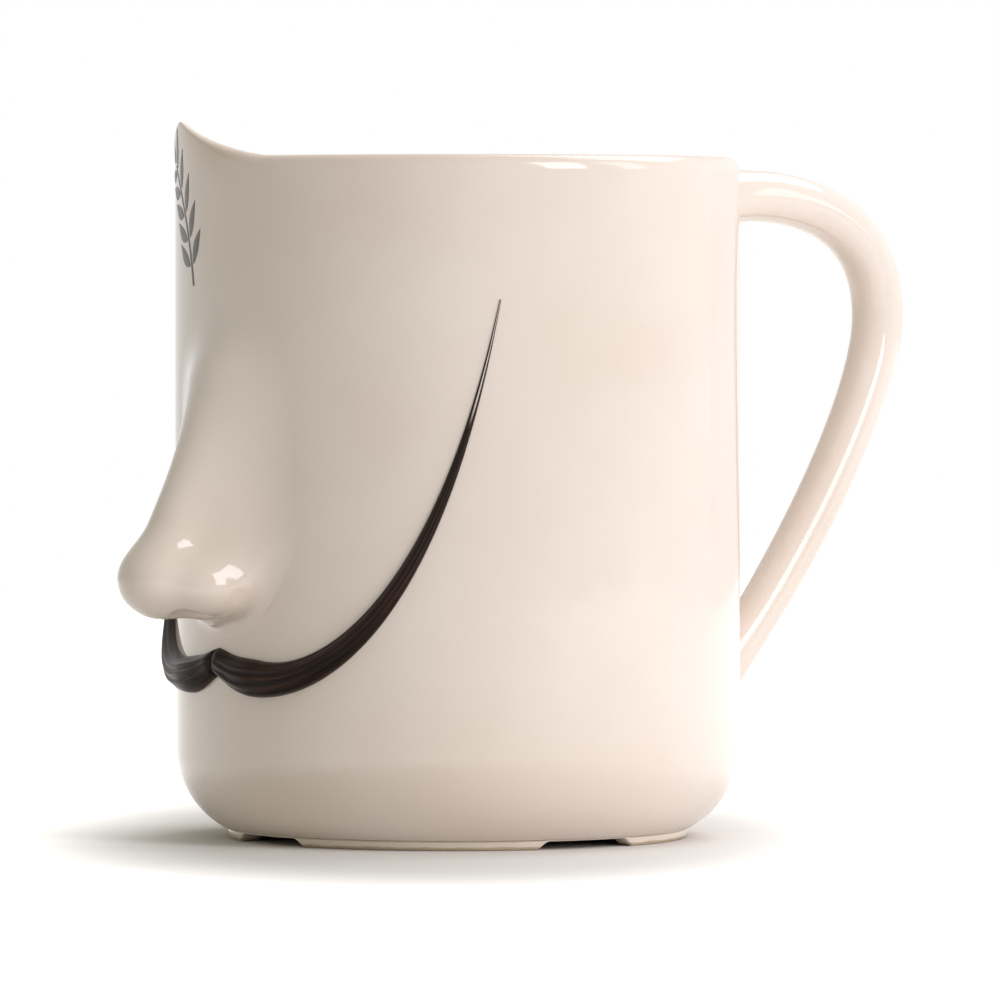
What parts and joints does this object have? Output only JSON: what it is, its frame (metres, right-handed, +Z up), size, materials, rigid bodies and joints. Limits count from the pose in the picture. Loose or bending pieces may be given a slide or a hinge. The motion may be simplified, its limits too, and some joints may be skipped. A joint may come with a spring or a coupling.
{
  "type": "face mug",
  "caption": "Straight-walled ceramic mug with an ear handle, a pointed crest in its rim, a notched foot ring, and a nose and upswept waxed moustache in relief.",
  "frame": {"origin": "centre of the foot ring at table level, on the cup's axis", "axes": "+Z up along the cup's axis, -Y out of the face, +Y out along the handle, +X to the face's left hand, the viewer's right"},
  "size_m": [0.084, 0.1403, 0.1062],
  "materials": {
    "glaze": "glossy ivory glaze",
    "bisque": "wiped bare clay, matt",
    "hair_glaze": "glossy brown-black glaze over combed relief",
    "ink": "fired transfer ink, satin"
  },
  "bodies": {
    "root": {"cup_body": "glaze", "foot_ring": "bisque", "handle": "glaze", "nose": "glaze", "moustache_left": "hair_glaze", "moustache_right": "hair_glaze", "leaf_transfer": "ink"}
  },
  "joints": []
}
